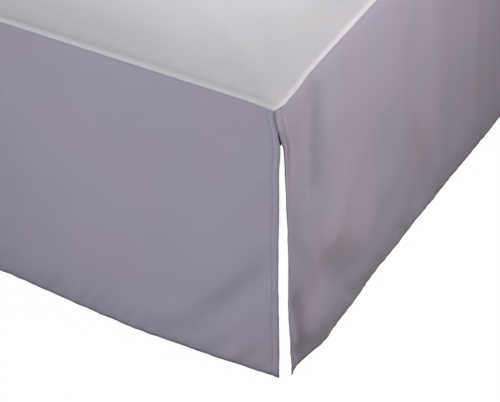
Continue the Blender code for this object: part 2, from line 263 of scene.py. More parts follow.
panelRight = {
    "name": "skirtRight", "node": "panel_right", "length": 2 * halfWidth, "seed": 12,
    "corner": (halfLength, -halfWidth), "along": (0, 1), "out": (1, 0),
    "edge": shortEdge, "seam": shortSeam, "belly": 0.0062, "footCurl": 0.0008,
    "curl": [
        (0.010, 0.0), (0.040, 0.0008), (0.150, 0.0018), (0.285, 0.0042), (0.330, 0.0026), (0.356, 0.0002),
    ],
    "hemTurn": [(0.0, 0.0030), (0.15, 0.0044), (0.28, 0.0034), (0.44, 0.0010), (0.71, 0.0020)],
    "hem": [
        (0.000, 0.0141), (0.031, 0.0126), (0.056, 0.0159), (0.077, 0.0199), (0.090, 0.0204),
        (0.108, 0.0190), (0.150, 0.0180), (0.200, 0.0168), (0.280, 0.0170), (0.380, 0.0181),
        (0.557, 0.0208), (0.640, 0.0180), (0.710, 0.0120),
    ],
    "folds": [
        (0.071, 0.012, 0.070, 0.135, 0.013, -0.0044), (0.074, 0.060, 0.062, 0.216, 0.026, -0.0046),
        (0.098, 0.070, 0.112, 0.150, 0.026, 0.0055), (0.013, 0.030, 0.013, 0.120, 0.014, 0.0022),
        (0.054, 0.200, 0.082, 0.300, 0.010, 0.0018), (0.025, 0.276, 0.028, 0.338, 0.013, -0.0058),
        (0.022, 0.310, 0.052, 0.302, 0.028, 0.0050), (0.018, 0.240, 0.050, 0.236, 0.026, 0.0024),
        (0.086, 0.258, 0.112, 0.290, 0.028, -0.0060),
        (0.354, 0.060, 0.378, 0.300, 0.016, 0.0026), (0.302, 0.110, 0.326, 0.300, 0.018, -0.0028),
        (0.414, 0.130, 0.424, 0.300, 0.020, -0.0022), (0.474, 0.110, 0.478, 0.300, 0.013, 0.0020),
        (0.240, 0.200, 0.262, 0.330, 0.026, -0.0030), (0.320, 0.235, 0.350, 0.345, 0.016, -0.0034),
        (0.250, 0.262, 0.256, 0.280, 0.024, 0.0030), (0.338, 0.250, 0.342, 0.275, 0.018, 0.0024),
        (0.585, 0.100, 0.600, 0.320, 0.024, -0.0024), (0.650, 0.060, 0.640, 0.240, 0.018, 0.0020),
    ],
    "laps": [
        (0.102, 0.214, 0.160, 0.268, 0.022, 0.0132, 0.054, 0.032, 0.056),
    ],
    "creases": [
        (0.006, 0.026, 0.008, 0.054, 0.007, 0.0016), (0.011, 0.005, 0.017, 0.026, 0.0020, -0.0009),
        (0.019, 0.006, 0.022, 0.020, 0.0022, -0.0006),
    ],
    "columns": [(0.0006, 0.0018), (0.060, 0.0028), (0.580, 0.0050), (0.660, 0.0030), (0.7094, 0.003)],
}
panelBack = {
    "name": "skirtBack", "node": "panel_back", "length": 2 * halfLength, "seed": 13,
    "corner": (-halfLength, halfWidth), "along": (1, 0), "out": (0, 1),
    "edge": longEdge, "seam": longSeam, "belly": 0.0016, "footCurl": 0.0006,
    "curl": [(0.0, 0.0), (0.356, 0.0)],
    "hemTurn": [(0.0, 0.0024), (0.50, 0.0010), (1.00, 0.0026), (1.32, 0.0016)],
    "hem": [
        (0.000, -0.0030), (0.160, 0.0020), (0.380, 0.0090), (0.600, 0.0030),
        (0.840, 0.0080), (1.100, 0.0010), (1.320, -0.0040),
    ],
    "folds": [
        (0.250, 0.110, 0.235, 0.330, 0.036, -0.0024), (0.430, 0.080, 0.445, 0.330, 0.030, 0.0026),
        (0.790, 0.100, 0.800, 0.330, 0.028, 0.0024), (1.060, 0.120, 1.050, 0.330, 0.040, -0.0022),
        (1.200, 0.210, 1.285, 0.300, 0.022, 0.0016),
    ],
    "laps": [
        (0.060, 0.150, 0.190, 0.310, 0.018, 0.0070, 0.060, 0.040, 0.050),
    ],
    "creases": [],
    "columns": [(0.0006, 0.0025), (0.050, 0.0065), (1.270, 0.0025), (1.3194, 0.003)],
}
panelLeft = {
    "name": "skirtLeft", "node": "panel_left", "length": 2 * halfWidth, "seed": 14,
    "corner": (-halfLength, halfWidth), "along": (0, -1), "out": (-1, 0),
    "edge": shortEdge, "seam": shortSeam, "belly": 0.0020, "footCurl": 0.0010,
    "curl": [(0.010, 0.0), (0.150, 0.0010), (0.300, 0.0022), (0.356, 0.0010)],
    "hemTurn": [(0.0, 0.0028), (0.30, 0.0012), (0.71, 0.0026)],
    "hem": [
        (0.000, 0.0110), (0.060, 0.0150), (0.180, 0.0120), (0.340, 0.0160),
        (0.500, 0.0110), (0.640, 0.0150), (0.710, 0.0110),
    ],
    "folds": [
        (0.085, 0.025, 0.090, 0.150, 0.014, -0.0022), (0.210, 0.090, 0.195, 0.320, 0.022, 0.0024),
        (0.410, 0.120, 0.425, 0.330, 0.026, -0.0024), (0.560, 0.070, 0.545, 0.300, 0.020, 0.0020),
    ],
    "laps": [
        (0.050, 0.170, 0.180, 0.320, 0.018, 0.0080, 0.060, 0.040, 0.050),
    ],
    "creases": [],
    "columns": [(0.0006, 0.0025), (0.050, 0.0055), (0.660, 0.0025), (0.7094, 0.003)],
}
panels = [panelFront, panelRight, panelBack, panelLeft]
panelRows = [  # place down the cloth, step up to the next place
    (0.0006, 0.0006), (0.0036, 0.0016), (0.020, 0.0034), (0.336, 0.0016), (0.3554, 0.001),
]


def sideDistance(panel, s):
    return np.minimum(s, panel["length"] - s)


def hemShape(fromEdge, hem, groove, ripple):
    # a doubled hem stands out a little, with a groove at its stitches and puckers across it
    span = skirt["hemStepSpan"]
    step = skirt["hemStep"] * (1 - ease((fromEdge - hem + span / 2) / span))
    pulled = groove * np.exp(-((fromEdge - hem) / skirt["grooveHalf"]) ** 2)
    reach = np.where(fromEdge < hem, 1.0, np.exp(-(fromEdge - hem) / skirt["puckerFade"]))
    return step - pulled + skirt["pucker"] * ripple * reach


def panelOut(panel, s, v):
    # how far the outer face stands out of the plane of the seam
    near, up, seed = sideDistance(panel, s), skirt["drop"] - v, panel["seed"]

    # the lines of the seam and the hem
    deeper = skirt["seamBulgeDepth"] - skirt["tuckDepth"]
    depth = skirt["tuckDepth"] + deeper * ease(near / skirt["tuckReach"])
    out = curveAt(panel["seam"], near, 1) * np.exp(-((v / depth) ** 2))
    out = out + curveAt(panel["hem"], s) * v / skirt["drop"]

    # folds, creases and laps
    hold = ease(v / skirt["foldStart"]) * ease(up / skirt["foldStop"]) * ease(near / skirt["foldSide"])
    out = out + rises(panel["folds"], s, v) * hold + rises(panel["creases"], s, v)
    out = out + lapRises(panel["laps"], s, v) * ease(near / skirt["lapSide"]) * ease(up / skirt["lapFoot"])

    # the belly below the seam and the turn above the hem
    belly = (1 - np.exp(-v / skirt["bellyDepth"])) * (1 - v / skirt["drop"])
    out = out + panel["belly"] * belly * ease((near - skirt["bellyStart"]) / skirt["bellySpan"])
    uneven = 1 + skirt["turnUneven"] * softNoise(s, 0 * v, *waves["turn"], seed + 60)
    turn = np.exp(-(((up - skirt["turnHeight"]) / skirt["turnReach"]) ** 2)) * ease(up / skirt["turnFoot"])
    out = out + curveAt(panel["hemTurn"], s) * turn * uneven * ease(near / skirt["turnSide"])

    # pull marks that slant over the cloth, and its swell
    slantedS = s - skirt["pullSlant"] * v
    slanted = softNoise(slantedS, skirt["pullStretch"] * v, *waves["pull"], seed + 80)
    pulled = np.exp(-((up - skirt["pullHeight"]) / skirt["pullReach"]) ** 2) * ease(up / skirt["pullFoot"])
    out = out + skirt["pull"] * slanted * pulled
    out = out + skirt["swell"] * softNoise(s, v, *waves["swell"], seed) * ease(v / skirt["swellStart"])
    out = out - skirt["seamRoll"] * (1 - np.clip(v / skirt["seamRollDepth"], 0, 1)) ** 2

    # the hems and how their edges curl
    stretch = skirt["puckerStretch"]
    alongHem = softNoise(s, v * stretch, *waves["alongHem"], seed + 20)
    downHem = softNoise(s * stretch, v, *waves["downHem"], seed + 40)
    out = out + hemShape(up, skirt["bottomHem"], skirt["footGroove"], alongHem)
    out = out + curveAt(panel["curl"], v) * (1 - np.clip(near / skirt["curlReach"], 0, 1)) ** 2
    footCurl = 1 - (1 - np.clip(up / skirt["footCurlReach"], 0, 1)) ** 2
    out = out + panel["footCurl"] * footCurl * np.exp(-((up / skirt["footCurlBack"]) ** 2))
    sideShape = hemShape(near, skirt["sideHem"], skirt["sideGroove"], downHem)
    return out + sideShape * ease(v / skirt["hemStart"])


def panelPlace(panel, s, v, out):
    near = sideDistance(panel, s)
    inset = curveAt(panel["edge"], v) * (1 - ease(near / skirt["edgeReach"])) ** 2
    run = s + np.where(s < panel["length"] / 2, inset, -inset)
    x = middle.x + panel["corner"][0] + run * panel["along"][0] + out * panel["out"][0]
    y = middle.y + panel["corner"][1] + run * panel["along"][1] + out * panel["out"][1]
    sag = curveAt(panel["seam"], near, 2) + skirt["seamLower"]
    z = seamZ - sag * (1 - v / skirt["drop"]) - v
    return np.stack([x, y, z], axis=-1)


def rimmed(places, end):
    # adds the closely spaced places that round the sheet's rims
    rim = np.array([0.0] + skirt["rimSteps"][:-1])
    return np.concatenate([rim, places, end - rim[::-1]])


def makePanel(panel):
    s = rimmed(spacedPlaces(panel["columns"]), panel["length"])
    v = rimmed(spacedPlaces(panelRows), skirt["drop"])
    s, v = np.meshgrid(s, v)
    near = sideDistance(panel, s)
    edge = np.minimum(near, np.minimum(v, skirt["drop"] - v))
    roundness = np.sqrt(1 - (1 - np.clip(edge / skirt["rimSteps"][-1], 0, 1)) ** 2)
    face = panelOut(panel, s, v) - skirt["cloth"] / 2
    half = roundness * skirt["cloth"] / 2
    outer = panelPlace(panel, s, v, face + half)
    inner = panelPlace(panel, s, v, face - half)
    handed = panel["along"][1] * -panel["out"][0] + panel["along"][0] * panel["out"][1]
    piece = closedSheet(panel["name"], outer, inner, np.stack([s, v], axis=-1), handed < 0)
    fromSide = piece.data.attributes.new("fromSide", "FLOAT", "POINT")
    distances = np.concatenate([near.ravel(), near[1:-1, 1:-1].ravel()])
    fromSide.data.foreach_set("value", distances.astype(np.float32))
    return piece


panelPieces = [makePanel(panel) for panel in panels]
print("panels", [len(piece.data.polygons) for piece in panelPieces])


deck = {
    "profile": [  # in from the seam, down from the top
        (0.0009, 0.0059), (0.0002, 0.0056), (0.0000, 0.0050), (0.0001, 0.0041), (0.0004, 0.0032),
        (0.0010, 0.0022), (0.0019, 0.0013), (0.0032, 0.0006), (0.0050, 0.0002), (0.0080, 0.0000),
    ],
    "cloth": 0.0012,
    "cornerReach": 0.020,     # how far a panel's seam line moves the cloth beside it
    "wrinkles": 0.00040,
    "fineShare": 0.5,         # of the fine wrinkles to the wide ones
    "wrinkleBase": 1.2,       # more leaves less of the cloth flat on the base
    "plainEdge": 0.03,        # wrinkles die out this near the edge
    "seed": 31,
    "creases": [  # from x y, to x y, half width, rise, from the plan middle
        (0.640, -0.335, 0.520, -0.240, 0.012, 0.0011), (0.648, -0.300, 0.560, -0.180, 0.010, 0.0008),
        (0.600, 0.330, 0.470, 0.210, 0.014, 0.0010), (-0.630, 0.320, -0.480, 0.190, 0.014, 0.0012),
        (-0.610, -0.325, -0.450, -0.260, 0.012, 0.0009), (-0.200, -0.330, -0.150, -0.120, 0.016, 0.0009),
        (0.150, 0.320, 0.230, 0.080, 0.016, 0.0010), (-0.380, 0.060, -0.060, 0.110, 0.018, 0.0008),
        (0.250, -0.120, 0.440, -0.030, 0.015, 0.0008),
    ],
    "columns": [(-0.6480, 0.0090), (0.2500, 0.0045), (0.6480, 0.0045)],  # place, step up to the next place
    "rows": [(-0.3430, 0.0045), (0.3430, 0.0050)],
}


def deckLines(places, half):
    # grid places over one direction: profile rows at both ends and plain steps between
    inward = np.array([row[0] for row in deck["profile"][:-1]])
    down = np.array([row[1] for row in deck["profile"][:-1]])
    flat = spacedPlaces(places)
    place = np.concatenate([-half + inward, flat, half - inward[::-1]])
    drop = np.concatenate([down, np.zeros(len(flat)), down[::-1]])
    return place, drop


def seamShift(panel, s):
    # how the seam line of a panel leaves the straight edge: along the panel, out and down
    near = sideDistance(panel, s)
    inset = curveAt(panel["edge"], 0.0) * (1 - ease(near / skirt["edgeReach"])) ** 2
    along = np.where(s < panel["length"] / 2, inset, -inset)
    return along, curveAt(panel["seam"], near, 1), curveAt(panel["seam"], near, 2)


def makeDeck():
    columns, dropX = deckLines(deck["columns"], halfLength)
    rows, dropY = deckLines(deck["rows"], halfWidth)
    x, y = np.meshgrid(columns, rows)
    dropX, dropY = np.meshgrid(dropX, dropY)
    depth = deck["profile"][0][1]
    down = np.minimum(np.hypot(dropX, dropY), depth)
    shift = np.zeros(x.shape + (3,))
    weight = np.zeros(x.shape)
    for panel in panels:
        corner, along, out = (np.array(panel[key], float) for key in ("corner", "along", "out"))
        s = np.clip((x - corner[0]) * along[0] + (y - corner[1]) * along[1], 0, panel["length"])
        away = -((x - corner[0]) * out[0] + (y - corner[1]) * out[1])
        pull = (1 - ease(away / deck["cornerReach"])) ** 2
        moveAlong, moveOut, sag = seamShift(panel, s)
        for axis in (0, 1):
            shift[..., axis] += pull * (moveAlong * along[axis] + moveOut * out[axis])
        shift[..., 2] -= pull * sag
        weight += pull
    shift /= np.maximum(weight, 1)[..., None]
    edge = np.minimum(halfLength - np.abs(x), halfWidth - np.abs(y))
    lift = softNoise(x, y, *waves["deckWide"], deck["seed"])
    lift = lift + deck["fineShare"] * softNoise(x, y, *waves["deckFine"], deck["seed"] + 1)
    lift = deck["wrinkles"] * np.maximum(lift + deck["wrinkleBase"], 0) + rises(deck["creases"], x, y)
    lift *= ease(edge / deck["plainEdge"])
    top = np.stack([middle.x + x, middle.y + y, topZ - down + lift], axis=-1) + shift
    return x, y, top


def gridNormals(grid):
    alongColumns = np.gradient(grid, axis=1)
    alongRows = np.gradient(grid, axis=0)
    normal = np.cross(alongColumns, alongRows)
    return normal / np.maximum(np.linalg.norm(normal, axis=-1, keepdims=True), 1e-12)


x, y, outer = makeDeck()
inner = outer - gridNormals(outer) * deck["cloth"]
inner[..., 2] = np.minimum(inner[..., 2], topZ)
outer[0], outer[-1], outer[:, 0], outer[:, -1] = inner[0], inner[-1], inner[:, 0], inner[:, -1]
deckPiece = closedSheet("deckCloth", outer, inner, np.stack([x, y], axis=-1), False)
print("deck", len(deckPiece.data.polygons))


# finishes
clothLook = {
    "mauve": (0.346, 0.322, 0.392), "mauveWarm": (0.355, 0.322, 0.387), "mauveCool": (0.338, 0.3215, 0.397),
    "white": (0.65, 0.65, 0.685), "whiteWarm": (0.656, 0.649, 0.677), "whiteCool": (0.643, 0.647, 0.689),
    "roughness": 0.80, "sheen": 0.12, "sheenRoughness": 0.45, "specular": 0.25,
    "threadPitch": 0.00042,   # one thread of the plain weave
    "weaveDepth": 0.000035,
    "crumple": 0.00010,
    "slub": 0.5,              # thick places in the threads
    "patchSize": 0.11,        # of the warm and cool tints
    "patchContrast": 5.0, "warmOffset": -2.2, "coolOffset": -2.4,
    "footHemShade": 0.09,     # painted shade: the doubled bottom hem is painted a little darker, as less light comes through two layers
    "hemSoftness": 0.0008,
    # painted shade along the panels' bottom and side edges, where their rims turn into shade
    "footEdgeShade": 0.55, "footEdgeWidth": 0.0030, "footEdgeSoftness": 0.0030,
    "sideEdgeShade": 0.30, "sideEdgeWidth": 0.0017, "sideEdgeSoftness": 0.0015,
    "footStitchShade": 0.08,  # painted shade along the pulled-in line of stitches
    "sideStitchShade": 0.20,
    "stitchLine": 0.0009,     # its width and softness
    "breakScale": 150.0,      # the line comes and goes
    "breakContrast": 2.4, "breakOffset": -0.4,
    "longShowAndShade": 0.17,         # darker beside the seam: the seam allowance shows through the white cloth, with painted shade of the seam's groove
    "shortShowAndShade": 0.03,
    "showAndShadeWidth": 0.0065,
}
threadLook = {
    "mauve": (0.235, 0.185, 0.265), "white": (0.68, 0.68, 0.70), "roughness": 0.62,
    "strandScale": 5200.0, "strandContrast": 0.35, "strandShade": 0.82, "strandDepth": 0.00004,
}
woodLook = {
    "light": (0.66, 0.51, 0.345), "dark": (0.47, 0.33, 0.20),
    "grainAlong": 2.2, "grainAcross": 46.0,
    "fibreContrast": 1.7, "fibreOffset": -0.62,
    "rings": 46.0, "ringContrast": 0.13,
    "pores": 0.00012, "roughness": 0.55,
}


def addNode(tree, kind, inputs=None, **settings):
    # a node with its settings; each input is a value or another node's output
    made = tree.nodes.new(kind)
    for key, value in settings.items():
        setattr(made, key, value)
    for key, value in (inputs or {}).items():
        if isinstance(value, bpy.types.NodeSocket):
            tree.links.new(value, made.inputs[key])
        else:
            made.inputs[key].default_value = value
    return made


def sums(tree, operation, *values, clamp=False):
    inputs = dict(enumerate(values))
    return addNode(tree, "ShaderNodeMath", inputs, operation=operation, use_clamp=clamp).outputs[0]


def noise(tree, vector, scale, detail=2.0, roughness=0.5):
    inputs = {"Vector": vector, "Scale": scale, "Detail": detail, "Roughness": roughness}
    return addNode(tree, "ShaderNodeTexNoise", inputs).outputs[0]


def stretched(tree, vector, stretch):
    return addNode(tree, "ShaderNodeVectorMath", {0: vector, 1: stretch}, operation="MULTIPLY").outputs[0]


def between(tree, factor, first, second):
    # mixes two colours, whose sockets are the seventh and eighth
    mixer = addNode(tree, "ShaderNodeMix", data_type="RGBA")
    for place, value in ((0, factor), (6, first), (7, second)):
        tree.links.new(value, mixer.inputs[place])
    return mixer.outputs[2]


def startGroup(name, inputs, outputs):
    tree = bpy.data.node_groups.new(name, "ShaderNodeTree")
    for label, kind, value in inputs:
        socket = tree.interface.new_socket(name=label, in_out="INPUT", socket_type="NodeSocket" + kind)
        if value is not None:
            socket.default_value = value
    for label, kind in outputs:
        tree.interface.new_socket(name=label, in_out="OUTPUT", socket_type="NodeSocket" + kind)
    return tree, tree.nodes.new("NodeGroupInput").outputs, tree.nodes.new("NodeGroupOutput").inputs


def makeWeave():
    # plain weave: warp and weft threads that pass over each other in turn, with slubs
    inputs = [("Vector", "Vector", None), ("Pitch", "Float", 0.0004), ("Thread Height", "Float", 0.00003),
              ("Crumple", "Float", 0.0001), ("Slub", "Float", 0.5)]
    tree, given, result = startGroup("plainWeave", inputs, [("Height", "Float"), ("Shade", "Float")])
    perMetre = sums(tree, "DIVIDE", math.pi, given["Pitch"])
    scaled = {0: given["Vector"], "Scale": perMetre}
    threads = addNode(tree, "ShaderNodeVectorMath", scaled, operation="SCALE")
    split = addNode(tree, "ShaderNodeSeparateXYZ", {0: threads.outputs[0]})
    warp, weft = sums(tree, "SINE", split.outputs[0]), sums(tree, "SINE", split.outputs[1])
    over = sums(tree, "MULTIPLY_ADD", sums(tree, "MULTIPLY", warp, weft), 1.5, 0.5, clamp=True)
    warpRound, weftRound = sums(tree, "ABSOLUTE", warp), sums(tree, "ABSOLUTE", weft)
    lifted = sums(tree, "MULTIPLY_ADD", sums(tree, "SUBTRACT", warpRound, weftRound), over, weftRound)
    fine, coarse = 1100.0, 28.0  # per metre, across and along a thread
    down = noise(tree, stretched(tree, given["Vector"], (fine, coarse, 1.0)), 1.0)
    across = noise(tree, stretched(tree, given["Vector"], (coarse, fine, 1.0)), 1.0)
    slubs = sums(tree, "SUBTRACT", sums(tree, "ADD", down, across), 1.0)
    slubs = sums(tree, "MULTIPLY", slubs, given["Slub"])
    thick = sums(tree, "MULTIPLY_ADD", slubs, 1.2, lifted)
    threadHeight = sums(tree, "MULTIPLY", thick, given["Thread Height"])
    crumple = noise(tree, given["Vector"], 55.0, 4.0, 0.55)
    tree.links.new(sums(tree, "MULTIPLY_ADD", crumple, given["Crumple"], threadHeight), result["Height"])
    tree.links.new(sums(tree, "MULTIPLY_ADD", slubs, 0.22, 1.0), result["Shade"])
    return tree


def makePatches():
    # large soft changes of tint, as dyed cloth has
    inputs = [("Vector", "Vector", None), ("Size", "Float", 0.1), ("Plain", "Color", None),
              ("Warm", "Color", None), ("Cool", "Color", None)]
    tree, given, result = startGroup("softPatches", inputs, [("Color", "Color")])
    scale = sums(tree, "DIVIDE", 1.0, given["Size"])
    wide = noise(tree, given["Vector"], scale, 1.5, 0.4)
    other = noise(tree, stretched(tree, given["Vector"], (1.6, 1.3, 1.0)), scale, 1.5, 0.4)
    contrast = clothLook["patchContrast"]
    warmth = sums(tree, "MULTIPLY_ADD", wide, contrast, clothLook["warmOffset"], clamp=True)
    coolness = sums(tree, "MULTIPLY_ADD", other, contrast, clothLook["coolOffset"], clamp=True)
    tint = between(tree, warmth, given["Plain"], given["Warm"])
    tree.links.new(between(tree, coolness, tint, given["Cool"]), result["Color"])
    return tree


def makeBand():
    # 1 within a band beside an edge, 0 past it
    inputs = [("Distance", "Float", 0.0), ("Width", "Float", 0.01), ("Softness", "Float", 0.001)]
    tree, given, result = startGroup("edgeBand", inputs, [("Mask", "Float")])
    inside = sums(tree, "SUBTRACT", given["Width"], given["Distance"])
    ratio = sums(tree, "DIVIDE", inside, given["Softness"])
    tree.links.new(sums(tree, "MULTIPLY_ADD", ratio, 0.5, 0.5, clamp=True), result["Mask"])
    return tree


def makeGrain():
    # wood grain that runs along the given vector's first axis, with faint rings
    inputs = [("Vector", "Vector", None), ("Light", "Color", None), ("Dark", "Color", None)]
    tree, given, result = startGroup("woodGrain", inputs, [("Color", "Color"), ("Height", "Float")])
    along, across = woodLook["grainAlong"], woodLook["grainAcross"]
    fibre = noise(tree, stretched(tree, given["Vector"], (along, across, across)), 3.0, 6.0, 0.62)
    bend = noise(tree, stretched(tree, given["Vector"], (along / 2, across / 8, across / 8)), 1.0, 2.0)
    rings = sums(tree, "SINE", sums(tree, "MULTIPLY", bend, woodLook["rings"]))
    rings = sums(tree, "MULTIPLY", rings, woodLook["ringContrast"])
    streaks = sums(tree, "MULTIPLY_ADD", fibre, woodLook["fibreContrast"], woodLook["fibreOffset"])
    amount = sums(tree, "ADD", streaks, rings, clamp=True)
    tree.links.new(between(tree, amount, given["Light"], given["Dark"]), result["Color"])
    tree.links.new(sums(tree, "SUBTRACT", 1.0, fibre), result["Height"])
    return tree


weaveGroup, patchGroup, bandGroup, grainGroup = makeWeave(), makePatches(), makeBand(), makeGrain()


def useGroup(tree, group, inputs):
    made = addNode(tree, "ShaderNodeGroup", node_tree=group)
    for key, value in inputs.items():
        if isinstance(value, bpy.types.NodeSocket):
            tree.links.new(value, made.inputs[key])
        else:
            made.inputs[key].default_value = (*value, 1) if isinstance(value, tuple) else value
    return made.outputs


def startMaterial(name, roughness, sheen=0.0):
    material = bpy.data.materials.new(name)
    material.use_nodes = True
    tree = material.node_tree
    shader = tree.nodes["Principled BSDF"]
    shader.inputs["Roughness"].default_value = roughness
    shader.inputs["Specular IOR Level"].default_value = clothLook["specular"]
    shader.inputs["Sheen Weight"].default_value = sheen
    shader.inputs["Sheen Roughness"].default_value = clothLook["sheenRoughness"]
    return material, tree, shader.inputs


def bumpFrom(tree, shaderInputs, height):
    # height is in metres
    bump = addNode(tree, "ShaderNodeBump", {"Height": height, "Distance": 1.0, "Strength": 1.0})
    tree.links.new(bump.outputs["Normal"], shaderInputs["Normal"])


def clothWeave(tree, place):
    sizes = {"Pitch": "threadPitch", "Thread Height": "weaveDepth", "Crumple": "crumple", "Slub": "slub"}
    values = {key: clothLook[name] for key, name in sizes.items()}
    return useGroup(tree, weaveGroup, {"Vector": place} | values)


def bandMask(tree, distance, width, softness):
    return useGroup(tree, bandGroup, {"Distance": distance, "Width": width, "Softness": softness})["Mask"]


def shaded(tree, colour, shade):
    # a colour made darker or lighter
    grey = addNode(tree, "ShaderNodeCombineXYZ", {0: shade, 1: shade, 2: shade}).outputs[0]
    return addNode(tree, "ShaderNodeVectorMath", {0: colour, 1: grey}, operation="MULTIPLY").outputs[0]


def makeMauve():
    # panels: woven, with painted shade at the rims, over the bottom hem and along the lines of stitches at
    # the hems
    material, tree, shader = startMaterial("mauveCloth", clothLook["roughness"], clothLook["sheen"])
    place = addNode(tree, "ShaderNodeUVMap", uv_map="cloth").outputs[0]
    weave = clothWeave(tree, place)
    whole = addNode(tree, "ShaderNodeTexCoord").outputs["Object"]
    tints = {"Vector": whole, "Size": clothLook["patchSize"],
             "Plain": clothLook["mauve"], "Warm": clothLook["mauveWarm"], "Cool": clothLook["mauveCool"]}
    colour = useGroup(tree, patchGroup, tints)["Color"]
    down = addNode(tree, "ShaderNodeSeparateXYZ", {0: place}).outputs[1]
    fromFoot = sums(tree, "SUBTRACT", skirt["drop"], down)
    fromSide = addNode(tree, "ShaderNodeAttribute", attribute_name="fromSide").outputs["Fac"]
    # painted shade over the doubled bottom hem
    foot = bandMask(tree, fromFoot, skirt["bottomHem"], clothLook["hemSoftness"])
    dark = sums(tree, "MULTIPLY", foot, clothLook["footHemShade"])
    broken = noise(tree, place, clothLook["breakScale"], 1.0)
    contrast, offset = clothLook["breakContrast"], clothLook["breakOffset"]
    broken = sums(tree, "MULTIPLY_ADD", broken, contrast, offset, clamp=True)
    for distance, name, hem in ((fromFoot, "foot", "bottomHem"), (fromSide, "side", "sideHem")):
        # painted shade along each rim
        rim = bandMask(tree, distance, clothLook[name + "EdgeWidth"], clothLook[name + "EdgeSoftness"])
        dark = sums(tree, "MULTIPLY_ADD", rim, clothLook[name + "EdgeShade"], dark)
        # painted shade along each line of stitches, broken up where the cloth puckers
        fromLine = sums(tree, "ABSOLUTE", sums(tree, "SUBTRACT", distance, skirt[hem]))
        line = bandMask(tree, fromLine, clothLook["stitchLine"], clothLook["stitchLine"])
        line = sums(tree, "MULTIPLY", line, broken)
        dark = sums(tree, "MULTIPLY_ADD", line, clothLook[name + "StitchShade"], dark)
    shade = sums(tree, "MULTIPLY", sums(tree, "SUBTRACT", 1.0, dark), weave["Shade"])
    tree.links.new(shaded(tree, colour, shade), shader["Base Color"])
    bumpFrom(tree, shader, weave["Height"])
    return material


def makeWhite():
    # deck: woven, and darker beside the seam, where the seam allowance shows through and painted shade
    # stands for the seam's groove
    material, tree, shader = startMaterial("whiteCloth", clothLook["roughness"], clothLook["sheen"])
    place = addNode(tree, "ShaderNodeUVMap", uv_map="cloth").outputs[0]
    weave = clothWeave(tree, place)
    tints = {"Vector": place, "Size": clothLook["patchSize"],
             "Plain": clothLook["white"], "Warm": clothLook["whiteWarm"], "Cool": clothLook["whiteCool"]}
    colour = useGroup(tree, patchGroup, tints)["Color"]
    split = addNode(tree, "ShaderNodeSeparateXYZ", {0: place}).outputs
    dark = 0.0
    # painted shade of the seam's groove, together with the seam allowance showing through
    for axis, half, show in ((0, halfLength, "shortShowAndShade"), (1, halfWidth, "longShowAndShade")):
        fromSeam = sums(tree, "SUBTRACT", half, sums(tree, "ABSOLUTE", split[axis]))
        mask = bandMask(tree, fromSeam, clothLook["showAndShadeWidth"], clothLook["showAndShadeWidth"])
        dark = sums(tree, "MULTIPLY_ADD", mask, clothLook[show], dark)
    shade = sums(tree, "MULTIPLY", sums(tree, "SUBTRACT", 1.0, dark), weave["Shade"])
    tree.links.new(shaded(tree, colour, shade), shader["Base Color"])
    bumpFrom(tree, shader, weave["Height"])
    return material


def makeThread(name, colour):
    # twisted thread: fine strands
    material, tree, shader = startMaterial(name, threadLook["roughness"], clothLook["sheen"])
    place = addNode(tree, "ShaderNodeTexCoord").outputs["Object"]
    strands = noise(tree, place, threadLook["strandScale"])
    shade = sums(tree, "MULTIPLY_ADD", strands, threadLook["strandContrast"], threadLook["strandShade"])
    tree.links.new(shaded(tree, colour, shade), shader["Base Color"])
    bumpFrom(tree, shader, sums(tree, "MULTIPLY", strands, threadLook["strandDepth"]))
    return material


def makeWood(name, turn):
    # turn lays the grain along the piece
    material, tree, shader = startMaterial(name, woodLook["roughness"])
    place = addNode(tree, "ShaderNodeTexCoord").outputs["Object"]
    laid = addNode(tree, "ShaderNodeMapping", {"Vector": place, "Rotation": turn}).outputs[0]
    colours = {"Light": woodLook["light"], "Dark": woodLook["dark"]}
    grain = useGroup(tree, grainGroup, {"Vector": laid} | colours)
    tree.links.new(grain["Color"], shader["Base Color"])
    bumpFrom(tree, shader, sums(tree, "MULTIPLY", grain["Height"], woodLook["pores"]))
    return material


mauveCloth, whiteCloth = makeMauve(), makeWhite()
mauveThread = makeThread("mauveThread", threadLook["mauve"])
whiteThread = makeThread("whiteThread", threadLook["white"])
baseWood = makeWood("baseWood", (0, 0, 0))
legWood = makeWood("legWood", (0, math.pi / 2, 0))
for piece in panelPieces:
    piece.data.materials.append(mauveCloth)
deckPiece.data.materials.append(whiteCloth)
for name in ("bed_base", "bed_leg_1", "bed_leg_2", "bed_leg_3", "bed_leg_4"):
    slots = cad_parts[name].data.materials
    slots.clear()
    slots.append(baseWood if name == "bed_base" else legWood)
print("finishes")


stitch = {
    "pitch": 0.0032, "length": 0.0022, "thickness": 0.00042, "unevenness": 0.22, "seed": 7,
    "hemFoot": 0.0094,        # bottom hem edge to its stitches
    "hemSide": 0.0079,
    "hemTop": 0.010,          # the side rows start this far below the seam
    "lineStep": 0.002,
    "deckRow": 4,             # the line of the deck's rounded edge that its white row follows
}


def groupInput(tree, name, kind, value=None, low=None, high=None):
    socket = tree.interface.new_socket(name=name, in_out="INPUT", socket_type=kind)
    if value is not None:
        socket.default_value = value
    if low is not None:
        socket.min_value, socket.max_value = low, high
    return socket


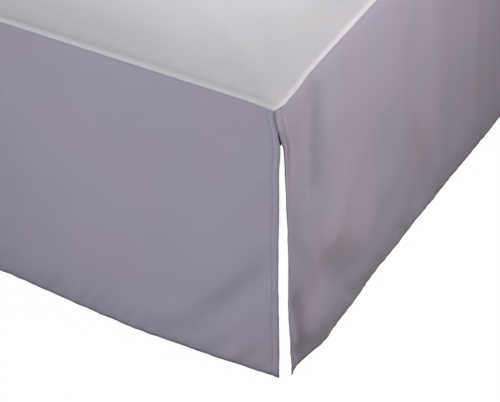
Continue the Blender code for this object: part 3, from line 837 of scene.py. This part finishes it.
def stitchTree():
    # a row of stitches along every edge line of the piece
    tree = bpy.data.node_groups.new("stitchRows", "GeometryNodeTree")
    tree.interface.new_socket(name="Geometry", in_out="OUTPUT", socket_type="NodeSocketGeometry")
    groupInput(tree, "Geometry", "NodeSocketGeometry")
    groupInput(tree, "Pitch", "NodeSocketFloat", stitch["pitch"], 0.001, 0.02)
    groupInput(tree, "Length", "NodeSocketFloat", stitch["length"], 0.0005, 0.02)
    groupInput(tree, "Thickness", "NodeSocketFloat", stitch["thickness"], 0.0001, 0.005)
    groupInput(tree, "Unevenness", "NodeSocketFloat", stitch["unevenness"], 0.0, 0.9)
    groupInput(tree, "Seed", "NodeSocketInt", stitch["seed"], 0, 1000)
    groupInput(tree, "Thread", "NodeSocketMaterial")
    add, link = tree.nodes.new, tree.links.new
    start, end = add("NodeGroupInput"), add("NodeGroupOutput")
    curve = add("GeometryNodeMeshToCurve")
    points = add("GeometryNodeCurveToPoints")
    points.mode = "LENGTH"
    bead = add("GeometryNodeMeshUVSphere")
    bead.inputs["Segments"].default_value = 6
    bead.inputs["Rings"].default_value = 4
    bead.inputs["Radius"].default_value = 0.5
    turn = add("FunctionNodeAlignRotationToVector")
    turn.axis = "X"
    least, most = add("ShaderNodeMath"), add("ShaderNodeMath")
    least.operation, most.operation = "SUBTRACT", "ADD"
    least.inputs[0].default_value = most.inputs[0].default_value = 1.0
    uneven = add("FunctionNodeRandomValue")
    uneven.data_type = "FLOAT"
    longer = add("ShaderNodeMath")
    longer.operation = "MULTIPLY"
    size = add("ShaderNodeCombineXYZ")
    place = add("GeometryNodeInstanceOnPoints")
    real = add("GeometryNodeRealizeInstances")
    smooth = add("GeometryNodeSetShadeSmooth")
    finish = add("GeometryNodeSetMaterial")
    link(start.outputs["Geometry"], curve.inputs["Mesh"])
    link(curve.outputs["Curve"], points.inputs["Curve"])
    link(start.outputs["Pitch"], points.inputs["Length"])
    link(points.outputs["Tangent"], turn.inputs["Vector"])
    link(start.outputs["Unevenness"], least.inputs[1])
    link(start.outputs["Unevenness"], most.inputs[1])
    link(least.outputs[0], uneven.inputs[2])
    link(most.outputs[0], uneven.inputs[3])
    link(start.outputs["Seed"], uneven.inputs["Seed"])
    link(uneven.outputs[1], longer.inputs[0])
    link(start.outputs["Length"], longer.inputs[1])
    link(longer.outputs[0], size.inputs["X"])
    link(start.outputs["Thickness"], size.inputs["Y"])
    link(start.outputs["Thickness"], size.inputs["Z"])
    link(points.outputs["Points"], place.inputs["Points"])
    link(bead.outputs["Mesh"], place.inputs["Instance"])
    link(turn.outputs["Rotation"], place.inputs["Rotation"])
    link(size.outputs["Vector"], place.inputs["Scale"])
    link(place.outputs["Instances"], real.inputs["Geometry"])
    link(real.outputs["Geometry"], smooth.inputs["Geometry"])
    link(smooth.outputs["Geometry"], finish.inputs["Geometry"])
    link(start.outputs["Thread"], finish.inputs["Material"])
    link(finish.outputs["Geometry"], end.inputs["Geometry"])
    return tree


def stitchedRows(name, lines, thread, seed):
    # lines are lists of points; the stitches become one plain mesh
    points, edges = [], []
    for line in lines:
        edges += [(len(points) + k, len(points) + k + 1) for k in range(len(line) - 1)]
        points += [tuple(point) for point in line]
    data = bpy.data.meshes.new(name)
    data.from_pydata(points, edges, [])
    piece = bpy.data.objects.new(name, data)
    bpy.context.scene.collection.objects.link(piece)
    modifier = piece.modifiers.new("stitches", "NODES")
    modifier.node_group = stitchRows
    values = {"Pitch": stitch["pitch"], "Length": stitch["length"], "Thickness": stitch["thickness"],
              "Unevenness": stitch["unevenness"], "Seed": seed, "Thread": thread}
    for item in stitchRows.interface.items_tree:
        if item.in_out == "INPUT" and item.name in values:
            modifier[item.identifier] = values[item.name]
    evaluated = piece.evaluated_get(bpy.context.evaluated_depsgraph_get())
    made = bpy.data.meshes.new_from_object(evaluated)
    piece.modifiers.clear()
    piece.data = made
    bpy.data.meshes.remove(data)
    made.name = name
    return piece


def panelStitches(panel):
    # bottom hem and both side hems, on the cloth's outer face
    foot, side, length = skirt["drop"] - stitch["hemFoot"], stitch["hemSide"], panel["length"]
    along = np.arange(side, length - side, stitch["lineStep"])
    down = np.arange(stitch["hemTop"], foot, stitch["lineStep"])
    rows = []
    for s, v in ((along, np.full(len(along), foot)), (np.full(len(down), side), down),
                 (np.full(len(down), length - side), down)):
        rows.append(panelPlace(panel, s, v, panelOut(panel, s, v)))
    return rows


stitchRows = stitchTree()
panelThreads = []
for panel in panels:
    name = panel["name"].replace("skirt", "stitches")
    panelThreads.append(stitchedRows(name, panelStitches(panel), mauveThread, panel["seed"]))
row = stitch["deckRow"]
deckRing = [outer[row, row:-row], outer[-row - 1, row:-row]]
deckRing += [outer[row:-row, row], outer[row:-row, -row - 1]]
deckThread = stitchedRows("stitchesDeck", deckRing, whiteThread, stitch["seed"])
print("stitches", [len(piece.data.polygons) for piece in panelThreads + [deckThread]])


# what each piece stands for
for panel, piece, thread in zip(panels, panelPieces, panelThreads):
    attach(piece, "root")
    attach(thread, "root")
    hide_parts(panel["node"])
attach(deckPiece, "root")
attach(deckThread, "root")
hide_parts("deck")


studio = {
    "floorSize": 30.0,
    "floorBounce": (0.15, 0.15, 0.15), "floorRoughness": 0.9,
    "floorGlow": 0.94, "floorWhite": 1.06,  # the floor is seen as plain white, and lights the cloth less
    "world": (0.93, 0.95, 1.0), "worldStrength": 0.05,
    "lights": [  # name, place from the corner, aim from the corner, size, watts, colour
        ("cornerLight", (0.45, 0.20, 0.12), (0.0, 0.20, -0.10), 0.25, 1.1, (1.0, 0.934, 0.918)),
        ("keyLight", (0.80, 0.20, 0.42), (0.0, 0.15, -0.15), 0.40, 5.0, (1.0, 0.934, 0.918)),
        ("endLight", (0.50, 0.60, 0.20), (0.0, 0.30, -0.10), 0.40, 0.5, (1.0, 0.934, 0.918)),
        ("frontLight", (-0.15, -1.00, 0.10), (-0.15, 0.0, -0.15), 0.50, 7.6, (0.973, 0.973, 1.0)),
        ("nearLight", (-0.06, -0.80, 0.60), (-0.12, 0.0, -0.10), 0.40, 1.25, (0.973, 0.973, 1.0)),
        ("backLight", (-1.20, 2.60, 0.60), (-0.4, 0.7, -0.15), 1.40, 40.0, (0.98, 0.98, 1.0)),
        ("footLight", (-3.20, -0.10, 0.80), (-1.3, 0.4, -0.15), 1.20, 30.0, (0.98, 0.98, 1.0)),
    ],
    # straight down on the deck, so that it looks white from every side
    "deckLight": {"height": 0.80, "long": 1.24, "wide": 0.59, "beam": 21.0, "watts": 0.90},
}

seamCorner = Vector((middle.x + halfLength, middle.y - halfWidth, seamZ))
half = studio["floorSize"] / 2
floorMesh = bpy.data.meshes.new("floor")
floorCorners = [(-half, -half, 0), (half, -half, 0), (half, half, 0), (-half, half, 0)]
floorMesh.from_pydata(floorCorners, [], [(0, 1, 2, 3)])
floor = bpy.data.objects.new("floor", floorMesh)
bpy.context.scene.collection.objects.link(floor)
floorLook = bpy.data.materials.new("paleFloor")
floorLook.use_nodes = True
tree = floorLook.node_tree
shader = tree.nodes["Principled BSDF"]
shader.inputs["Base Color"].default_value = (*studio["floorBounce"], 1)
shader.inputs["Roughness"].default_value = studio["floorRoughness"]
glow = tree.nodes.new("ShaderNodeEmission")
glow.inputs["Strength"].default_value = studio["floorWhite"]
seen = tree.nodes.new("ShaderNodeLightPath")
share = tree.nodes.new("ShaderNodeMath")
share.operation = "MULTIPLY"
share.inputs[1].default_value = studio["floorGlow"]
blend = tree.nodes.new("ShaderNodeMixShader")
tree.links.new(seen.outputs["Is Camera Ray"], share.inputs[0])
tree.links.new(share.outputs[0], blend.inputs[0])
tree.links.new(shader.outputs[0], blend.inputs[1])
tree.links.new(glow.outputs[0], blend.inputs[2])
tree.links.new(blend.outputs[0], tree.nodes["Material Output"].inputs["Surface"])
floorMesh.materials.append(floorLook)

world = bpy.data.worlds.new("studio")
world.use_nodes = True
sky = world.node_tree.nodes["Background"]
sky.inputs["Color"].default_value = (*studio["world"], 1)
sky.inputs["Strength"].default_value = studio["worldStrength"]
bpy.context.scene.world = world


def addLight(name, shape, size, watts, place):
    data = bpy.data.lights.new(name, "AREA")
    data.shape, data.size, data.energy = shape, size, watts
    lamp = bpy.data.objects.new(name, data)
    bpy.context.scene.collection.objects.link(lamp)
    lamp.location = place
    lamp.visible_camera = False
    return lamp


for name, place, aim, size, watts, colour in studio["lights"]:
    lamp = addLight(name, "DISK", size, watts, seamCorner + Vector(place))
    lamp.data.color = colour
    lamp.rotation_euler = (Vector(aim) - Vector(place)).to_track_quat("-Z", "Y").to_euler()

above = studio["deckLight"]
overDeck = (middle.x, middle.y, seamZ + above["height"])
lamp = addLight("deckLight", "RECTANGLE", above["long"], above["watts"], overDeck)
lamp.data.size_y, lamp.data.spread = above["wide"], math.radians(above["beam"])

view = {
    "fromCorner": (0.7836, -1.4733, 1.2029),  # from the seam's corner
    "tilt": 51.755, "turn": 28.84, "lens": 152.8, "sensor": 36,
    "nearest": 0.05, "farthest": 100,
}
cameraData = bpy.data.cameras.new("camera")
cameraData.lens = view["lens"]
cameraData.sensor_width = view["sensor"]
cameraData.clip_start, cameraData.clip_end = view["nearest"], view["farthest"]
camera = bpy.data.objects.new("camera", cameraData)
bpy.context.scene.collection.objects.link(camera)
camera.location = seamCorner + Vector(view["fromCorner"])
camera.rotation_euler = (math.radians(view["tilt"]), 0, math.radians(view["turn"]))
bpy.context.scene.camera = camera
bpy.context.scene.view_settings.view_transform = "Standard"
print("camera and lights")
